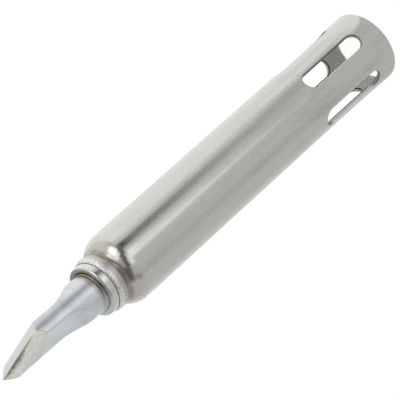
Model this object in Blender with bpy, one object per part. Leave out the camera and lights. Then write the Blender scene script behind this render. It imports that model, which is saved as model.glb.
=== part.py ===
"""Slip-on soldering iron bit: a slotted heater tube, a rolled sleeve and a knife bit.

The bit stands on the open end of its tube, point up. The origin is on the tube's
axis in the plane of that end. +X is the side where the cutting edge starts, low
down, and the two flats of the blade face +Y and -Y. All sizes are in metres.
"""
import math

import bmesh
import bpy
from mathutils import Matrix, Vector

MM = 0.001

# Clearances
FIT_GAP = 0.30 * MM
SEAM_GAP = 0.15 * MM

# Heater tube, from its open end to the edge of its neck
TUBE_RADIUS = 4.25 * MM
TUBE_WALL = 0.50 * MM
TUBE_LENGTH = 43.5 * MM
FLARE_GROWTH = 0.15 * MM
FLARE_LENGTH = 8.5 * MM
SHOULDER_LENGTH = 2.2 * MM
SHOULDER_TURN = math.radians(45)
NECK_LENGTH = 1.5 * MM
NECK_WALL = 0.29 * MM
NECK_ROUND = 0.26 * MM

# Slots that let the retaining spring of the iron grip the tube
SLOT_COUNT = 5
SLOT_WIDTH = 2.08 * MM
SLOT_LENGTH = 9.65 * MM
SLOT_FOOT = 2.85 * MM
SLOT_TURN = math.radians(-3.9)

# Sleeve between the tube and the bit, rolled out to a lip in front of the neck
SLEEVE_WALL = 0.35 * MM
SLEEVE_FLANGE = 0.50 * MM
LIP_LENGTH = 0.80 * MM
LIP_WALL = 0.30 * MM
LIP_ROUND = 0.12 * MM
MOUTH_GAP = 0.47 * MM
MOUTH_DEPTH = 0.75 * MM
SEAT_RISE = 0.3 * MM

# Bit: a round bar with two hollowed flats and a slanting two-sided edge
BIT_RADIUS = 2.30 * MM
SHANK_STEP = 0.20 * MM
HEAT_DISC = 2.0 * MM
BASE_RING_GROWTH = 0.12 * MM
BASE_RING_LENGTH = 0.35 * MM
ROUND_LENGTH = 2.0 * MM
RAMP_ANGLE = math.radians(27)
RAMP_RADIUS = 6.0 * MM
BLADE_THICKNESS = 1.92 * MM
HEEL_REACH = 9.43 * MM
EDGE_ANGLE = math.radians(46.5)
BEVEL_ANGLE = math.radians(53)

# Fineness of the round forms
TURN_STEPS = 60
ARC_STEPS = 4

# What follows from the sizes above
TUBE_BORE = TUBE_RADIUS - TUBE_WALL
SHANK_RADIUS = BIT_RADIUS - SHANK_STEP
SLEEVE_BORE = SHANK_RADIUS + FIT_GAP
SLEEVE_RADIUS = SLEEVE_BORE + SLEEVE_WALL
NECK_BORE = SLEEVE_RADIUS + FIT_GAP
NECK_RADIUS = NECK_BORE + NECK_WALL
MOUTH_RADIUS = BIT_RADIUS + MOUTH_GAP
LIP_RADIUS = MOUTH_RADIUS + LIP_WALL
FLANGE_RADIUS = TUBE_BORE - FIT_GAP
NECK_START = TUBE_LENGTH + SHOULDER_LENGTH
NECK_END = NECK_START + NECK_LENGTH
LIP_BACK = NECK_END + SEAM_GAP
LIP_FRONT = LIP_BACK + LIP_LENGTH
FLANGE_TOP = TUBE_LENGTH + SEAT_RISE
FLANGE_BOTTOM = FLANGE_TOP - SLEEVE_FLANGE
DISC_TOP = FLANGE_BOTTOM - FIT_GAP
DISC_BOTTOM = DISC_TOP - HEAT_DISC
HEEL_HEIGHT = LIP_FRONT + HEEL_REACH
POINT_HEIGHT = HEEL_HEIGHT + 2 * BIT_RADIUS / math.tan(EDGE_ANGLE)


def clear_scene():
    """Remove every object that is in the scene."""
    for obj in list(bpy.data.objects):
        bpy.data.objects.remove(obj, do_unlink=True)


def metal(name, colour, roughness):
    """Return a plain metal material."""
    material = bpy.data.materials.new(name)
    material.use_nodes = True
    shader = material.node_tree.nodes["Principled BSDF"]
    shader.inputs["Base Color"].default_value = (*colour, 1.0)
    shader.inputs["Metallic"].default_value = 1.0
    shader.inputs["Roughness"].default_value = roughness
    return material


def arc(centre, radius, start, end, steps=ARC_STEPS):
    """Return points (r, z) on an arc, angles measured from the +r direction."""
    points = []
    for step in range(steps + 1):
        angle = start + (end - start) * step / steps
        points.append((centre[0] + radius * math.cos(angle), centre[1] + radius * math.sin(angle)))
    return points


def object_from(bm, name, material):
    """Turn a bmesh into a linked object with smooth sides and sharp edges."""
    bmesh.ops.remove_doubles(bm, verts=bm.verts, dist=0.0005 * MM)
    bmesh.ops.recalc_face_normals(bm, faces=bm.faces)
    mesh = bpy.data.meshes.new(name)
    bm.to_mesh(mesh)
    bm.free()
    if material:
        mesh.materials.append(material)
    mesh.shade_smooth()
    mesh.set_sharp_from_angle(angle=math.radians(30))
    obj = bpy.data.objects.new(name, mesh)
    bpy.context.collection.objects.link(obj)
    return obj


def turned(name, profile, material):
    """Spin a profile of (r, z) points about the Z axis. On the axis r is zero."""
    bm = bmesh.new()
    verts = [bm.verts.new((r, 0.0, z)) for r, z in profile]
    edges = [bm.edges.new((verts[i], verts[i - 1])) for i in range(len(verts))]
    on_axis = [e for e in edges if all(abs(v.co.x) < 1e-9 for v in e.verts)]
    for edge in on_axis:
        edges.remove(edge)
        bm.edges.remove(edge)
    bmesh.ops.spin(
        bm,
        geom=bm.verts[:] + edges,
        cent=(0.0, 0.0, 0.0),
        axis=(0.0, 0.0, 1.0),
        angle=math.tau,
        steps=TURN_STEPS,
        use_merge=True,
    )
    return object_from(bm, name, material)


def cut(target, cutter):
    """Cut one hidden solid from a target with a Boolean that stays live."""
    cutter.hide_render = True
    cutter.display_type = "WIRE"
    modifier = target.modifiers.new(cutter.name, "BOOLEAN")
    modifier.operation = "DIFFERENCE"
    modifier.solver = "EXACT"
    modifier.object = cutter


def shoulder(tube_radius, neck_radius, length):
    """Return the curve from the tube's side to its neck, bottom to top."""
    drop = tube_radius - neck_radius
    points = []
    for step in range(2 * ARC_STEPS + 1):
        angle = SHOULDER_TURN * step / (2 * ARC_STEPS)
        radius = tube_radius - drop * (1 - math.cos(angle)) / (1 - math.cos(SHOULDER_TURN))
        height = TUBE_LENGTH + length * math.sin(angle) / math.sin(SHOULDER_TURN)
        points.append((radius, height))
    return points


def flare(base_radius):
    """Return the curve of the slightly opened rear end, bottom to top."""
    points = []
    for step in range(ARC_STEPS):
        rise = step / ARC_STEPS
        points.append((base_radius + FLARE_GROWTH * (1 - rise) ** 2, FLARE_LENGTH * rise))
    return points


def slot_cutter(turn):
    """Return a radial cutter for one slot with round ends."""
    half_width = SLOT_WIDTH / 2
    low = SLOT_FOOT + half_width
    high = SLOT_FOOT + SLOT_LENGTH - half_width
    outline = arc((0.0, high), half_width, 0.0, math.pi, 2 * ARC_STEPS)
    outline += arc((0.0, low), half_width, math.pi, math.tau, 2 * ARC_STEPS)
    bm = bmesh.new()
    rings = []
    for radius in (TUBE_BORE - TUBE_WALL, TUBE_RADIUS + FLARE_GROWTH + TUBE_WALL):
        ring = []
        for across, height in outline:
            angle = turn + across / TUBE_RADIUS
            ring.append(bm.verts.new((radius * math.cos(angle), radius * math.sin(angle), height)))
        rings.append(ring)
    bmesh.ops.contextual_create(bm, geom=rings[0])
    bmesh.ops.contextual_create(bm, geom=rings[1])
    for i in range(len(outline)):
        bm.faces.new((rings[0][i], rings[0][i - 1], rings[1][i - 1], rings[1][i]))
    return object_from(bm, "slot_cutter", None)


def build_outer_tube():
    """Drawn steel tube: opened rear end, slots, rounded shoulder and neck."""
    inner_length = SHOULDER_LENGTH - NECK_WALL
    profile = flare(TUBE_RADIUS)
    profile += shoulder(TUBE_RADIUS, NECK_RADIUS, SHOULDER_LENGTH)
    profile += arc((NECK_RADIUS - NECK_ROUND, NECK_END - NECK_ROUND), NECK_ROUND, 0.0, math.pi / 2)
    profile += [(NECK_BORE, NECK_END)]
    profile += reversed(shoulder(TUBE_BORE, NECK_BORE, inner_length))
    profile += reversed(flare(TUBE_BORE))
    tube = turned("outer_tube", profile, metal("satin_steel", (0.60, 0.61, 0.58), 0.32))
    for index in range(SLOT_COUNT):
        cut(tube, slot_cutter(SLOT_TURN + math.tau * index / SLOT_COUNT))
    return tube


def build_lip_sleeve():
    """Thin sleeve with a flange behind the shoulder and a rolled lip in front."""
    edge = LIP_WALL / 2
    mouth_foot = LIP_FRONT - MOUTH_DEPTH
    profile = [
        (SLEEVE_BORE, FLANGE_BOTTOM),
        (FLANGE_RADIUS, FLANGE_BOTTOM),
        (FLANGE_RADIUS, FLANGE_TOP),
        (SLEEVE_RADIUS, FLANGE_TOP),
        (SLEEVE_RADIUS, LIP_BACK),
    ]
    profile += arc((LIP_RADIUS - LIP_ROUND, LIP_BACK + LIP_ROUND), LIP_ROUND, -math.pi / 2, 0.0, 3)
    profile += arc((LIP_RADIUS - edge, LIP_FRONT - edge), edge, 0.0, math.pi)
    for step in range(1, ARC_STEPS + 1):
        turn = math.pi / 2 * step / ARC_STEPS
        radius = SLEEVE_BORE + (MOUTH_RADIUS - SLEEVE_BORE) * (1 - math.sin(turn))
        height = mouth_foot + (MOUTH_DEPTH - edge) * math.cos(turn)
        profile.append((radius, height))
    return turned("lip_sleeve", profile, metal("bright_steel", (0.74, 0.75, 0.75), 0.16))


def flat_cutter(side):
    """Return the cutter that hollows one flat of the bit, on the +Y or -Y side."""
    half = BLADE_THICKNESS / 2
    ramp_foot = LIP_FRONT + ROUND_LENGTH
    arc_drop = RAMP_RADIUS * (1 - math.cos(RAMP_ANGLE))
    ramp_length = (BIT_RADIUS - half - arc_drop) / math.tan(RAMP_ANGLE)
    arc_end = ramp_foot + ramp_length + RAMP_RADIUS * math.sin(RAMP_ANGLE)
    outside = BIT_RADIUS + BLADE_THICKNESS
    outside_height = ramp_foot - BLADE_THICKNESS / math.tan(RAMP_ANGLE)
    curve = arc((half + RAMP_RADIUS, arc_end), RAMP_RADIUS, math.pi + RAMP_ANGLE, math.pi)
    top = POINT_HEIGHT + BLADE_THICKNESS
    outline = [(outside, outside_height)] + curve + [(half, top), (outside, top)]
    bm = bmesh.new()
    reach = BIT_RADIUS + BLADE_THICKNESS
    verts = [bm.verts.new((-reach, side * y, z)) for y, z in outline]
    face = bm.faces.new(verts)
    grown = bmesh.ops.extrude_face_region(bm, geom=[face])
    moved = [item for item in grown["geom"] if isinstance(item, bmesh.types.BMVert)]
    bmesh.ops.translate(bm, verts=moved, vec=(2 * reach, 0.0, 0.0))
    return object_from(bm, "flat_cutter", None)


def bevel_cutter(side):
    """Return the block whose face is one bevel of the cutting edge."""
    edge_direction = Vector((-math.sin(EDGE_ANGLE), 0.0, math.cos(EDGE_ANGLE)))
    outward = Vector((math.cos(EDGE_ANGLE), 0.0, math.sin(EDGE_ANGLE)))
    across = Vector((0.0, side, 0.0))
    normal = outward * math.sin(BEVEL_ANGLE) + across * math.cos(BEVEL_ANGLE)
    side_way = normal.cross(edge_direction)
    heel = Vector((BIT_RADIUS, 0.0, HEEL_HEIGHT))
    size = 8 * BIT_RADIUS
    bm = bmesh.new()
    bmesh.ops.create_cube(bm, size=size)
    place = Matrix((edge_direction, side_way, normal)).transposed().to_4x4()
    place.translation = heel + normal * size / 2
    bmesh.ops.transform(bm, matrix=place, verts=bm.verts)
    return object_from(bm, "bevel_cutter", None)


def build_knife_bit():
    """Copper bit: heat disc and shank inside, plated bar and knife end outside."""
    base_top = LIP_FRONT + BASE_RING_LENGTH / 2
    base_foot = base_top - BASE_RING_LENGTH
    profile = [
        (0.0, DISC_BOTTOM),
        (FLANGE_RADIUS, DISC_BOTTOM),
        (FLANGE_RADIUS, DISC_TOP),
        (SHANK_RADIUS, DISC_TOP),
        (SHANK_RADIUS, base_foot),
        (BIT_RADIUS + BASE_RING_GROWTH, base_foot),
        (BIT_RADIUS + BASE_RING_GROWTH, base_top),
        (BIT_RADIUS, base_top + BASE_RING_GROWTH),
        (BIT_RADIUS, POINT_HEIGHT + BIT_RADIUS),
        (0.0, POINT_HEIGHT + BIT_RADIUS),
    ]
    bit = turned("knife_bit", profile, metal("plated_copper", (0.70, 0.72, 0.75), 0.25))
    for side in (1, -1):
        cut(bit, flat_cutter(side))
    for side in (1, -1):
        cut(bit, bevel_cutter(side))
    return bit


def main():
    """Build the three pieces of the bit."""
    clear_scene()
    build_outer_tube()
    build_lip_sleeve()
    build_knife_bit()


main()
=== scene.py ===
"""Looks of a slip-on soldering iron tip: slotted tube, rolled lip and knife bit.

The tip stands on the open end of its tube with the point up, and its axis is the
Z axis. +X is the side where the cutting edge starts, low down, and the two hollowed
flats of the bit face +Y and -Y. Sizes in the classes are in millimetres.
"""
from __future__ import annotations

import logging
import math
from dataclasses import dataclass, field
from enum import Enum

import bmesh
import bpy
import numpy as np
from mathutils import Matrix, Vector


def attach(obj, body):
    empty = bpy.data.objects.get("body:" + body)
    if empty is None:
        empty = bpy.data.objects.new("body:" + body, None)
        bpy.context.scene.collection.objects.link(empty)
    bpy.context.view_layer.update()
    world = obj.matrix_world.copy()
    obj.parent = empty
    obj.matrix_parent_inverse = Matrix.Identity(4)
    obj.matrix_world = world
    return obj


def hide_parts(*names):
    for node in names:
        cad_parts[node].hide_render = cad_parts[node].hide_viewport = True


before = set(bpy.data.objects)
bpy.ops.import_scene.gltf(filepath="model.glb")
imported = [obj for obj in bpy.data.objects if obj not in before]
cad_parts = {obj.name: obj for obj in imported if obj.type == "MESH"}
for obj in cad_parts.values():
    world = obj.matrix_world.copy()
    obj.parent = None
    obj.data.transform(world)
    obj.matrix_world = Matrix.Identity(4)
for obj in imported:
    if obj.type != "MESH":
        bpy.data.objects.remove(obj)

LOG = logging.getLogger("soldering_tip")
MM = 0.001
WHITE = (1.0, 1.0, 1.0)

# Points closer than this are one: in a finished mesh, on a lathe and between sectors.
WELD = 0.0005 * MM
LATHE_WELD = 0.001 * MM
RING_WELD = 0.002 * MM

# Most of a noise pattern lies between these values.
PATTERN_SPAN = (0.3, 0.7)

# Part of a turn that sets the shine of fine marks across them.
SHINE_TURN = 0.25

Point = tuple[float, float]
Span = tuple[float, float]
Place = tuple[float, float, float]
Colour = tuple[float, float, float]
Tree = bpy.types.NodeTree
Socket = bpy.types.NodeSocket
Material = bpy.types.Material
Object = bpy.types.Object


# Helpers for meshes


def arc(centre: Point, radius: float, start: float, end: float, steps: int, rise: float = 0.0) -> list[Point]:
    """Return points along an arc in the plane of radius and height.

    Args:
        centre: Middle of the arc as (radius, height).
        radius: Radius of the arc.
        start: First angle in degrees, from the direction of growing radius.
        end: Last angle in degrees.
        steps: Number of chords.
        rise: Radius along the height where the arc is part of an ellipse.

    Returns:
        The points, both ends included.
    """
    angles = np.radians(np.linspace(start, end, steps + 1))
    return [(centre[0] + radius * math.cos(a), centre[1] + (rise or radius) * math.sin(a)) for a in angles]


def linked(name: str, data: bpy.types.ID) -> Object:
    """Put a mesh, lamp or camera into the scene.

    Args:
        name: Name of the object.
        data: What the object shows.

    Returns:
        The new object.
    """
    obj = bpy.data.objects.new(name, data)
    bpy.context.collection.objects.link(obj)
    return obj


def mesh_object(name: str, points: np.ndarray, faces: list[tuple[int, ...]]) -> Object:
    """Make a linked, smooth mesh object.

    Args:
        name: Name of the object.
        points: Positions in millimetres, one row each.
        faces: Corner numbers of each face.

    Returns:
        The new object.
    """
    mesh = bpy.data.meshes.new(name)
    mesh.from_pydata((points * MM).tolist(), [], faces)
    mesh.shade_smooth()
    return linked(name, mesh)


def face_outwards(mesh: bpy.types.Mesh) -> None:
    """Weld a closed mesh, turn all its faces outwards and smooth it.

    Args:
        mesh: The mesh, which is changed in place.
    """
    bm = bmesh.new()
    bm.from_mesh(mesh)
    bmesh.ops.remove_doubles(bm, verts=bm.verts, dist=WELD)
    bmesh.ops.dissolve_degenerate(bm, edges=bm.edges, dist=WELD)
    bmesh.ops.recalc_face_normals(bm, faces=bm.faces)
    bm.to_mesh(mesh)
    bm.free()
    mesh.shade_smooth()


def net(grid: np.ndarray, value: np.ndarray) -> tuple[np.ndarray, list[list[int]]]:
    """Lay a skin through the cells of a grid in which a value changes its sign.

    Args:
        grid: Places of the grid's corners, with x, y and z in the last axis.
        value: Value at each corner, negative inside the form.

    Returns:
        One point for each cell that the skin passes, and faces of four points.
    """
    cells = tuple(size - 1 for size in value.shape)
    total, count, number = np.zeros((*cells, 3)), np.zeros(cells), np.full(cells, -1)
    # A cell's point is the mean of the places where the skin crosses its edges.
    for axis in range(3):
        ends, places, sums, hits = (np.moveaxis(array, axis, 0) for array in (value, grid, total, count))
        crossed = (ends[:-1] < 0) != (ends[1:] < 0)
        share = np.where(crossed, ends[:-1] / np.where(crossed, ends[:-1] - ends[1:], 1.0), 0.0)
        place = (places[:-1] + share[..., None] * (places[1:] - places[:-1])) * crossed[..., None]
        for i, j in ((0, 0), (0, 1), (1, 0), (1, 1)):
            beside = (slice(None), slice(i, i + hits.shape[1]), slice(j, j + hits.shape[2]))
            sums += place[beside]
            hits += crossed[beside]
    active = count > 0
    number[active] = np.arange(active.sum())
    faces: list[list[int]] = []
    # Each crossed edge gets a face between the four cells around it.
    for axis in range(3):
        inside, numbers = np.moveaxis(value < 0, axis, 0)[:, 1:-1, 1:-1], np.moveaxis(number, axis, 0)
        k, i, j = np.nonzero(inside[:-1] != inside[1:])
        corners = ((i, j), (i + 1, j), (i + 1, j + 1), (i, j + 1))
        quads = np.stack([numbers[k, a, b] for a, b in corners], axis=1)
        back = inside[k, i, j] if axis == 1 else ~inside[k, i, j]
        quads[back] = quads[back][:, ::-1]
        faces += quads.tolist()
    return total[active] / count[active][:, None], faces


def declare(obj: Object, node: str) -> Object:
    """Let a finished piece stand for a node of the part.

    Args:
        obj: The piece.
        node: Name of the node, whose part from model.glb is hidden.

    Returns:
        The piece.
    """
    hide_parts(node)
    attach(obj, "root")
    return obj


def grown(source: Object, tree: Tree, values: dict[str, float | Material]) -> Object:
    """Run a geometry tree on an object and keep the result as a plain mesh.

    Args:
        source: Object that the tree starts from. It is removed.
        tree: The geometry node tree.
        values: Values of the tree's named inputs.

    Returns:
        A new object with the same name and the finished mesh.
    """
    name = source.name
    modifier = source.modifiers.new(tree.name, "NODES")
    modifier.node_group = tree
    sockets = [item for item in tree.interface.items_tree if item.item_type == "SOCKET"]
    keys = {item.name: item.identifier for item in sockets if item.in_out == "INPUT"}
    for key, value in values.items():
        modifier[keys[key]] = value
    evaluated = source.evaluated_get(bpy.context.evaluated_depsgraph_get())
    mesh = bpy.data.meshes.new_from_object(evaluated)
    source.modifiers.remove(modifier)
    bpy.data.objects.remove(source, do_unlink=True)
    face_outwards(mesh)
    mesh.name = name
    return linked(name, mesh)


# Wiring of node trees


@dataclass(frozen=True)
class Signal:
    """A value that runs through a node tree and takes part in plain arithmetic."""

    wire: Wiring
    socket: Socket

    def __add__(self, other: Number) -> Signal:
        """Return the sum."""
        return self.wire.math("ADD", self, other)

    def __sub__(self, other: Number) -> Signal:
        """Return the difference."""
        return self.wire.math("SUBTRACT", self, other)

    def __rsub__(self, other: float) -> Signal:
        """Return the difference from a plain number."""
        return self.wire.math("SUBTRACT", other, self)

    def __mul__(self, other: Number) -> Signal:
        """Return the product."""
        return self.wire.math("MULTIPLY", self, other)

    def __truediv__(self, other: Number) -> Signal:
        """Return the quotient."""
        return self.wire.math("DIVIDE", self, other)

    def __rtruediv__(self, other: float) -> Signal:
        """Return a plain number divided by the value."""
        return self.wire.math("DIVIDE", other, self)

    def __neg__(self) -> Signal:
        """Return the value with its sign changed."""
        return self.wire.math("MULTIPLY", self, -1.0)

    def __abs__(self) -> Signal:
        """Return the value without its sign."""
        return self.wire.math("ABSOLUTE", self)

    def __lt__(self, other: Number) -> Signal:
        """Return 1 where the value is the lesser one, otherwise 0."""
        return self.wire.math("LESS_THAN", self, other)

    def __gt__(self, other: Number) -> Signal:
        """Return 1 where the value is the greater one, otherwise 0."""
        return self.wire.math("GREATER_THAN", self, other)


Number = Signal | float
Tone = Signal | Colour
Feed = Signal | Socket | bpy.types.Node | Colour | float


@dataclass(frozen=True)
class Wiring:
    """Short way to add and join nodes in any node tree."""

    tree: Tree

    def feed(self, target: Socket, value: Feed) -> None:
        """Link something into an input, or set the input to a plain value.

        Args:
            target: The input.
            value: The signal, socket, number or colour, or a node for its first output.
        """
        if isinstance(value, Signal):
            value = value.socket
        elif isinstance(value, bpy.types.Node):
            value = value.outputs[0]
        if isinstance(value, Socket):
            self.tree.links.new(value, target)
        elif isinstance(value, tuple) and len(value) < len(target.default_value):
            target.default_value = (*value, 1.0)
        else:
            target.default_value = value

    def add(
        self, kind: str, feeds: dict[str | int, Feed] | None = None, **settings: object
    ) -> bpy.types.Node:
        """Add a node.

        Args:
            kind: Type of the node.
            feeds: What goes into its inputs, by their names or numbers.
            settings: Its properties.

        Returns:
            The node.
        """
        node = self.tree.nodes.new(kind)
        for key, value in settings.items():
            setattr(node, key, value)
        for key, value in (feeds or {}).items():
            self.feed(node.inputs[key], value)
        return node

    def signal(self, node: bpy.types.Node, output: int = 0) -> Signal:
        """Return one output of a node as a signal."""
        return Signal(self, node.outputs[output])

    def signals(self, node: bpy.types.Node) -> dict[str, Signal]:
        """Return all outputs of a node as signals, by name."""
        return {socket.name: Signal(self, socket) for socket in node.outputs}

    def parts(self, vector: Feed) -> dict[str, Signal]:
        """Return a vector's three parts by name."""
        return self.signals(self.add("ShaderNodeSeparateXYZ", {0: vector}))

    def math(self, operation: str, *values: Number) -> Signal:
        """Return the result of a math node whose inputs get the values in order."""
        return self.signal(self.add("ShaderNodeMath", dict(enumerate(values)), operation=operation))

    def show(self, shader: bpy.types.Node) -> None:
        """Put a shader in the place of the material's usual one."""
        self.tree.nodes.remove(self.tree.nodes["Principled BSDF"])
        self.feed(self.tree.nodes["Material Output"].inputs["Surface"], shader)

    def blend(self, factor: Number, low: Tone, high: Tone) -> Signal:
        """Return the mixture of two colours."""
        return self.signal(self.add("ShaderNodeMix", {0: factor, 6: low, 7: high}, data_type="RGBA"), 2)

    def between(
        self, value: Number, low: float, high: float, start: float = 0.0, end: float = 1.0
    ) -> Signal:
        """Map a value smoothly from one span to another.

        Args:
            value: The number or signal to map.
            low: Value that gives start.
            high: Value that gives end.
            start: Result at low and below.
            end: Result at high and above.

        Returns:
            The result.
        """
        feeds = dict(enumerate((value, low, high, start, end)))
        return self.signal(self.add("ShaderNodeMapRange", feeds, interpolation_type="SMOOTHSTEP"))

    def ramp(self, factor: Number, stops: tuple[Point, ...]) -> Signal:
        """Return the grey that a ramp gives to a factor.

        Args:
            factor: The number or signal that reads the ramp.
            stops: Pairs of place, from 0 to 1, and grey value.

        Returns:
            The grey value.
        """
        node = self.add("ShaderNodeValToRGB", {0: factor})
        node.color_ramp.interpolation = "EASE"
        elements = node.color_ramp.elements
        while len(elements) < len(stops):
            elements.new(0.5)
        for element, (place, grey) in zip(elements, stops):
            element.position = place
            element.color = (grey, grey, grey, 1.0)
        return self.signal(node)

    def hand_out(self, results: dict[str, Feed], kind: str = "Float") -> Tree:
        """Close a group or geometry tree.

        Args:
            results: Its outputs with what they put out.
            kind: Kind of the outputs.

        Returns:
            The finished tree.
        """
        for name in results:
            self.tree.interface.new_socket(name=name, in_out="OUTPUT", socket_type="NodeSocket" + kind)
        self.add("NodeGroupOutput", results)
        return self.tree


def new_tree(name: str, kind: str, inputs: dict[str, str]) -> tuple[Wiring, dict[str, Signal]]:
    """Start a shader group or a geometry tree.

    Args:
        name: Name of the tree.
        kind: Type of the tree.
        inputs: Its inputs with their kinds.

    Returns:
        The tree's wiring and its inputs.
    """
    tree = bpy.data.node_groups.new(name, kind)
    for key, socket_kind in inputs.items():
        tree.interface.new_socket(name=key, in_out="INPUT", socket_type="NodeSocket" + socket_kind)
    wire = Wiring(tree)
    return wire, wire.signals(wire.add("NodeGroupInput"))


# Geometry node trees


def close_geometry(wire: Wiring, skin: bpy.types.Node, given: dict[str, Signal]) -> Tree:
    """Realize, weld and dress the skin of a geometry tree.

    Args:
        wire: The tree's wiring.
        skin: Node that puts out the skin.
        given: The tree's inputs.

    Returns:
        The finished tree.
    """
    real = wire.add("GeometryNodeRealizeInstances", {0: skin})
    weld = wire.add("GeometryNodeMergeByDistance", {"Geometry": real, "Distance": given["Weld"]})
    finish = wire.add("GeometryNodeSetMaterial", {"Geometry": weld, "Material": given["Finish"]})
    return wire.hand_out({"Skin": finish}, "Geometry")


def ring_tree() -> Tree:
    """Set copies of one sector around the Z axis and weld them.

    Returns:
        The tree.
    """
    kinds = {"Sector": "Geometry", "Count": "Int", "Turn": "Float", "Weld": "Float", "Finish": "Material"}
    wire, given = new_tree("sectors_around_axis", "GeometryNodeTree", kinds)
    points = wire.add("GeometryNodePoints", {"Count": given["Count"]})
    index = wire.signal(wire.add("GeometryNodeInputIndex"))
    turn = wire.add("ShaderNodeCombineXYZ", {"Z": index * (math.tau / given["Count"]) + given["Turn"]})
    feeds = {"Points": points, "Instance": given["Sector"], "Rotation": turn}
    return close_geometry(wire, wire.add("GeometryNodeInstanceOnPoints", feeds), given)


def lathe_tree() -> Tree:
    """Turn a profile's points about the Z axis into a skin.

    Returns:
        The tree.
    """
    kinds = {"Profile": "Geometry", "Points": "Int", "Steps": "Int", "Weld": "Float", "Finish": "Material"}
    wire, given = new_tree("turned_profile", "GeometryNodeTree", kinds)
    columns = given["Steps"] + 1.0
    grid = wire.add("GeometryNodeMeshGrid", {"Vertices X": given["Points"], "Vertices Y": columns})
    index = wire.signal(wire.add("GeometryNodeInputIndex"))
    row = wire.math("FLOOR", (index + 0.5) / columns)
    angle = (index - row * columns) / given["Steps"] * math.tau
    place = wire.add("GeometryNodeInputPosition")
    feeds = {"Geometry": given["Profile"], "Value": place, "Index": row}
    spot = wire.parts(wire.add("GeometryNodeSampleIndex", feeds, data_type="FLOAT_VECTOR", domain="POINT"))
    x, y = spot["X"] * wire.math("COSINE", angle), spot["X"] * wire.math("SINE", angle)
    moved = wire.add("ShaderNodeCombineXYZ", {"X": x, "Y": y, "Z": spot["Z"]})
    shift = wire.add("GeometryNodeSetPosition", {"Geometry": grid, "Position": moved})
    return close_geometry(wire, shift, given)


def turned(name: str, profile: list[Point], steps: int, tree: Tree, finish: Material) -> Object:
    """Turn a closed profile about the Z axis.

    Args:
        name: Name of the piece.
        profile: Points as (radius, height) in millimetres, without the closing one.
        steps: Number of faces around the axis.
        tree: The lathe tree.
        finish: Material of the piece.

    Returns:
        The turned piece.
    """
    closed = profile + profile[:1]
    outline = mesh_object(name, np.array([(r, 0.0, z) for r, z in closed]), [])
    values = {"Points": len(closed), "Steps": steps, "Weld": LATHE_WELD, "Finish": finish}
    return grown(outline, tree, values)


# Materials


def grain_group() -> Tree:
    """Make the fine grain of a metal skin.

    Its grains lie every "Size" millimetres and are stretched "Length" times along Z.

    Returns:
        The group.
    """
    wire, given = new_tree("metal_grain", "ShaderNodeTree", {"Size": "Float", "Length": "Float"})
    coords = wire.add("ShaderNodeTexCoord").outputs["Object"]
    across = 1.0 / MM / given["Size"]
    scale = wire.add("ShaderNodeCombineXYZ", {"X": across, "Y": across, "Z": across / given["Length"]})
    spread = wire.add("ShaderNodeVectorMath", {0: coords, 1: scale}, operation="MULTIPLY")
    fine = wire.add("ShaderNodeTexNoise", {"Scale": 1.0, "Detail": 3.0, "Vector": spread})
    cloud = wire.add("ShaderNodeTexNoise", {"Scale": 0.45 / MM, "Detail": 2.0, "Vector": coords})
    return wire.hand_out({"Grain": fine, "Cloud": cloud})


def place_group() -> Tree:
    """Tell a point's place on the tip in millimetres.

    The azimuth runs from -1 to 1 and is 0 on the side named by "Side" in degrees.

    Returns:
        The group.
    """
    wire, given = new_tree("height_and_side", "ShaderNodeTree", {"Side": "Float"})
    coords = wire.add("ShaderNodeTexCoord").outputs["Object"]
    feeds = {"Vector": coords, "Angle": wire.math("RADIANS", -given["Side"])}
    aside = wire.parts(wire.add("ShaderNodeVectorRotate", feeds, rotation_type="Z_AXIS"))
    azimuth = wire.math("ARCTAN2", aside["Y"], aside["X"]) / math.pi
    way = wire.parts(coords)
    x, y = way["X"] / MM, way["Y"] / MM
    reach = wire.math("SQRT", x * x + y * y)
    results = {"Height": way["Z"] / MM, "Azimuth": azimuth, "Along": x, "Across": y, "Reach": reach}
    return wire.hand_out(results)


@dataclass
class Groups:
    """The shader groups that the finishes share."""

    grain: Tree = field(default_factory=grain_group)
    place: Tree = field(default_factory=place_group)


def new_material(name: str) -> tuple[Material, Wiring]:
    """Make a material with the usual shader.

    Args:
        name: Name of the material.

    Returns:
        The material and its wiring.
    """
    material = bpy.data.materials.new(name)
    material.use_nodes = True
    return material, Wiring(material.node_tree)


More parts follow.
